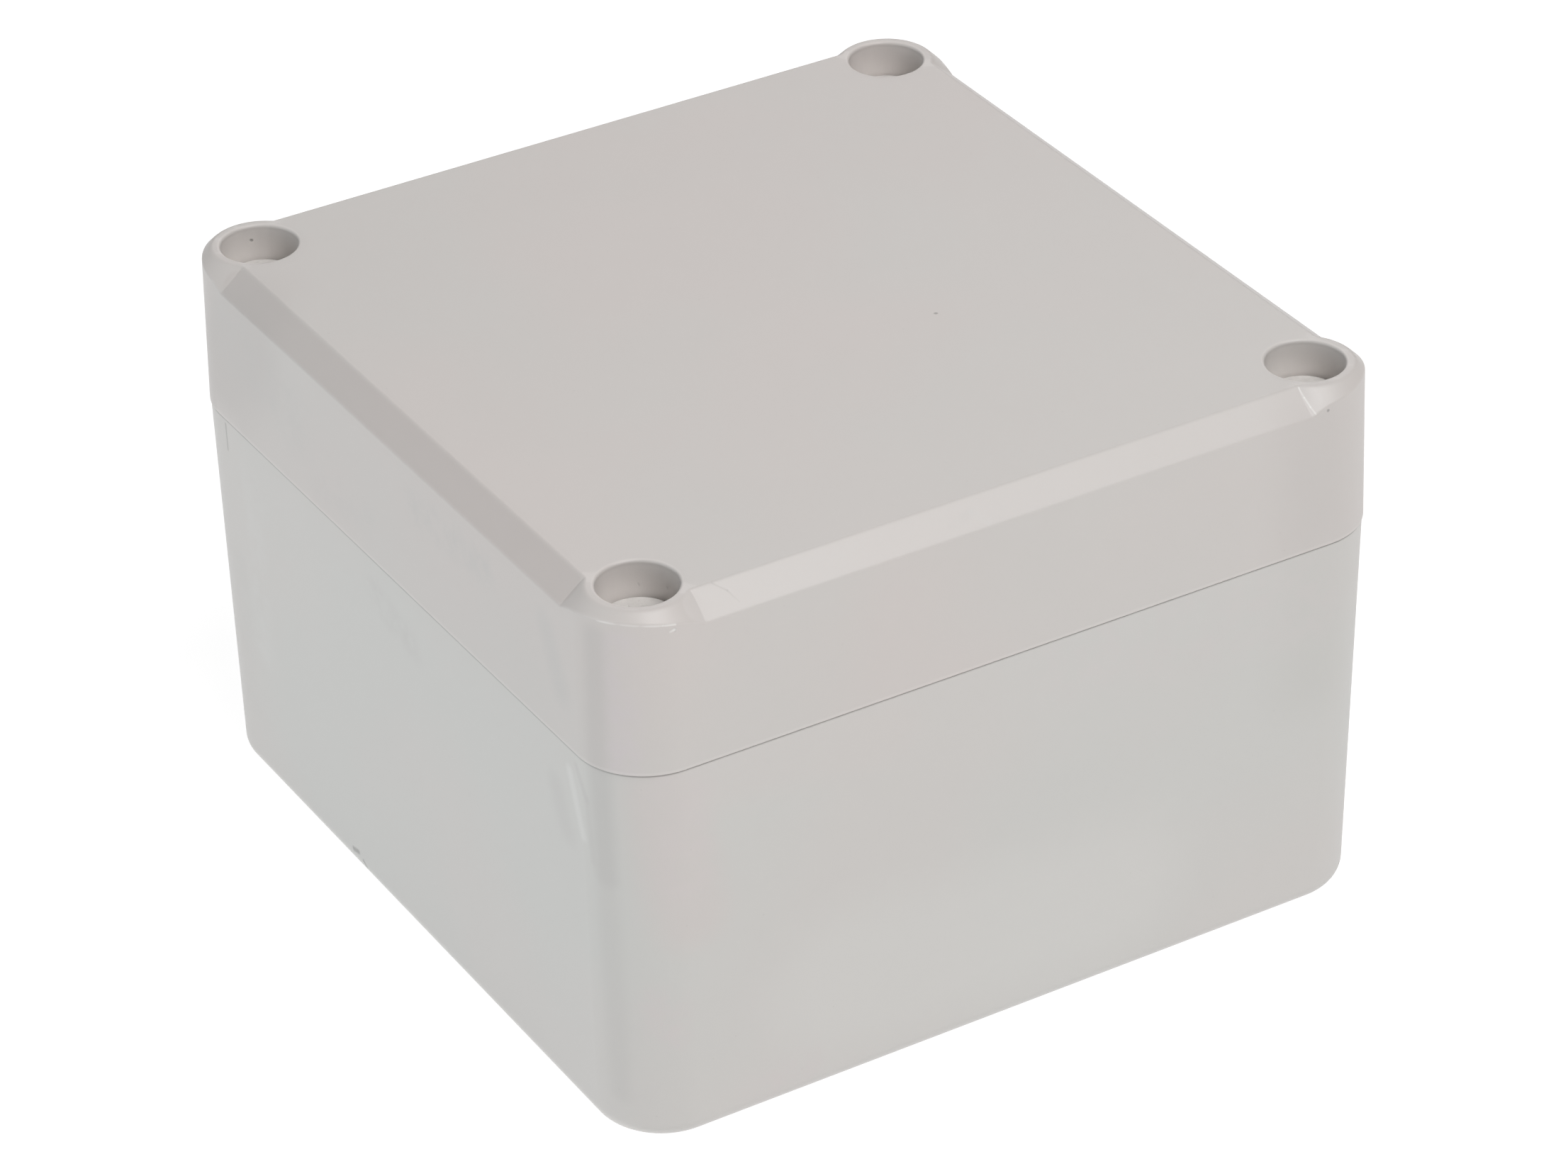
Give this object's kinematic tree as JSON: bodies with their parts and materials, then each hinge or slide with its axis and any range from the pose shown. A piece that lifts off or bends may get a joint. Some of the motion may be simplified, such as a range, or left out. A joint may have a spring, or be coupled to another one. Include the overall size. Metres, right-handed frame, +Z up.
{
  "type": "electrical junction box",
  "caption": "Light grey sealed junction box: deep lid with sloping upper edges on corner screws in round recesses, plain walls, seal, and a terminal block on a plate inside.",
  "frame": {"origin": "centre of the base's underside", "axes": "+Z up through the lid, X along the 80 mm sides, Y along the 82 mm sides; the front is the 80 mm side facing -Y"},
  "size_m": [0.08, 0.082, 0.055],
  "materials": {
    "housing_plastic": "satin moulded ABS, light grey",
    "screw_plastic": "moulded polyamide, light grey",
    "washer_nylon": "natural nylon",
    "seal_rubber": "soft sponge rubber",
    "brass": "turned",
    "zinc_steel": "zinc plated",
    "plate_steel": "galvanised sheet",
    "block_plastic": "moulded polyamide, off white"
  },
  "bodies": {
    "housing": {"base": "housing_plastic", "threaded_insert_1": "brass", "threaded_insert_2": "brass", "threaded_insert_3": "brass", "threaded_insert_4": "brass", "mounting_plate": "plate_steel", "plate_screw_1": "zinc_steel", "plate_screw_2": "zinc_steel", "plate_screw_3": "zinc_steel", "plate_screw_4": "zinc_steel", "terminal_housing": "block_plastic", "terminal_sleeve_1": "brass", "terminal_sleeve_2": "brass", "terminal_sleeve_3": "brass", "block_screw_1": "zinc_steel", "block_screw_2": "zinc_steel"},
    "lid": {"lid": "housing_plastic", "lid_gasket": "seal_rubber"},
    "screw_retainer_1": {"retaining_washer_1": "washer_nylon"},
    "lid_screw_1": {"lid_screw_1": "screw_plastic"},
    "screw_retainer_2": {"retaining_washer_2": "washer_nylon"},
    "lid_screw_2": {"lid_screw_2": "screw_plastic"},
    "screw_retainer_3": {"retaining_washer_3": "washer_nylon"},
    "lid_screw_3": {"lid_screw_3": "screw_plastic"},
    "screw_retainer_4": {"retaining_washer_4": "washer_nylon"},
    "lid_screw_4": {"lid_screw_4": "screw_plastic"},
    "wire_guard_1": {"wire_guard_1": "zinc_steel"},
    "clamp_screw_1": {"clamp_screw_1": "zinc_steel"},
    "wire_guard_2": {"wire_guard_2": "zinc_steel"},
    "clamp_screw_2": {"clamp_screw_2": "zinc_steel"},
    "wire_guard_3": {"wire_guard_3": "zinc_steel"},
    "clamp_screw_3": {"clamp_screw_3": "zinc_steel"},
    "wire_guard_4": {"wire_guard_4": "zinc_steel"},
    "clamp_screw_4": {"clamp_screw_4": "zinc_steel"},
    "wire_guard_5": {"wire_guard_5": "zinc_steel"},
    "clamp_screw_5": {"clamp_screw_5": "zinc_steel"},
    "wire_guard_6": {"wire_guard_6": "zinc_steel"},
    "clamp_screw_6": {"clamp_screw_6": "zinc_steel"}
  },
  "joints": [
    {"name": "lid_lift", "type": "slide", "parent": "housing", "child": "lid", "axis": [0, 0, 1], "range_m": [0, 0.05]},
    {"name": "lid_screw_1_rise", "type": "slide", "parent": "lid", "child": "screw_retainer_1", "axis": [0, 0, 1], "range_m": [0, 0.005]},
    {"name": "lid_screw_1_turn", "type": "hinge", "parent": "screw_retainer_1", "child": "lid_screw_1", "pos_m": [0.03405, 0.03505, 0.05], "axis": [0, 0, 1], "range_deg": [0, 2571.5]},
    {"name": "lid_screw_2_rise", "type": "slide", "parent": "lid", "child": "screw_retainer_2", "axis": [0, 0, 1], "range_m": [0, 0.005]},
    {"name": "lid_screw_2_turn", "type": "hinge", "parent": "screw_retainer_2", "child": "lid_screw_2", "pos_m": [-0.03405, 0.03505, 0.05], "axis": [0, 0, 1], "range_deg": [0, 2571.5]},
    {"name": "lid_screw_3_rise", "type": "slide", "parent": "lid", "child": "screw_retainer_3", "axis": [0, 0, 1], "range_m": [0, 0.005]},
    {"name": "lid_screw_3_turn", "type": "hinge", "parent": "screw_retainer_3", "child": "lid_screw_3", "pos_m": [-0.03405, -0.03505, 0.05], "axis": [0, 0, 1], "range_deg": [0, 2571.5]},
    {"name": "lid_screw_4_rise", "type": "slide", "parent": "lid", "child": "screw_retainer_4", "axis": [0, 0, 1], "range_m": [0, 0.005]},
    {"name": "lid_screw_4_turn", "type": "hinge", "parent": "screw_retainer_4", "child": "lid_screw_4", "pos_m": [0.03405, -0.03505, 0.05], "axis": [0, 0, 1], "range_deg": [0, 2571.5]},
    {"name": "clamp_1_travel", "type": "slide", "parent": "housing", "child": "wire_guard_1", "axis": [0, 0, -1], "range_m": [0, 0.0025]},
    {"name": "clamp_1_turn", "type": "hinge", "parent": "wire_guard_1", "child": "clamp_screw_1", "pos_m": [-0.013, -0.005, 0.02], "axis": [0, 0, -1], "range_deg": [0, 1800.1]},
    {"name": "clamp_2_travel", "type": "slide", "parent": "housing", "child": "wire_guard_2", "axis": [0, 0, -1], "range_m": [0, 0.0025]},
    {"name": "clamp_2_turn", "type": "hinge", "parent": "wire_guard_2", "child": "clamp_screw_2", "pos_m": [-0.013, 0.005, 0.02], "axis": [0, 0, -1], "range_deg": [0, 1800.1]},
    {"name": "clamp_3_travel", "type": "slide", "parent": "housing", "child": "wire_guard_3", "axis": [0, 0, -1], "range_m": [0, 0.0025]},
    {"name": "clamp_3_turn", "type": "hinge", "parent": "wire_guard_3", "child": "clamp_screw_3", "pos_m": [0, -0.005, 0.02], "axis": [0, 0, -1], "range_deg": [0, 1800.1]},
    {"name": "clamp_4_travel", "type": "slide", "parent": "housing", "child": "wire_guard_4", "axis": [0, 0, -1], "range_m": [0, 0.0025]},
    {"name": "clamp_4_turn", "type": "hinge", "parent": "wire_guard_4", "child": "clamp_screw_4", "pos_m": [0, 0.005, 0.02], "axis": [0, 0, -1], "range_deg": [0, 1800.1]},
    {"name": "clamp_5_travel", "type": "slide", "parent": "housing", "child": "wire_guard_5", "axis": [0, 0, -1], "range_m": [0, 0.0025]},
    {"name": "clamp_5_turn", "type": "hinge", "parent": "wire_guard_5", "child": "clamp_screw_5", "pos_m": [0.013, -0.005, 0.02], "axis": [0, 0, -1], "range_deg": [0, 1800.1]},
    {"name": "clamp_6_travel", "type": "slide", "parent": "housing", "child": "wire_guard_6", "axis": [0, 0, -1], "range_m": [0, 0.0025]},
    {"name": "clamp_6_turn", "type": "hinge", "parent": "wire_guard_6", "child": "clamp_screw_6", "pos_m": [0.013, 0.005, 0.02], "axis": [0, 0, -1], "range_deg": [0, 1800.1]}
  ],
  "couplings": [
    {"joint": "lid_screw_1_turn", "follows": "lid_screw_1_rise", "rad_per_m": 8976},
    {"joint": "lid_screw_2_turn", "follows": "lid_screw_2_rise", "rad_per_m": 8976},
    {"joint": "lid_screw_3_turn", "follows": "lid_screw_3_rise", "rad_per_m": 8976},
    {"joint": "lid_screw_4_turn", "follows": "lid_screw_4_rise", "rad_per_m": 8976},
    {"joint": "clamp_1_turn", "follows": "clamp_1_travel", "rad_per_m": 12566},
    {"joint": "clamp_2_turn", "follows": "clamp_2_travel", "rad_per_m": 12566},
    {"joint": "clamp_3_turn", "follows": "clamp_3_travel", "rad_per_m": 12566},
    {"joint": "clamp_4_turn", "follows": "clamp_4_travel", "rad_per_m": 12566},
    {"joint": "clamp_5_turn", "follows": "clamp_5_travel", "rad_per_m": 12566},
    {"joint": "clamp_6_turn", "follows": "clamp_6_travel", "rad_per_m": 12566}
  ]
}
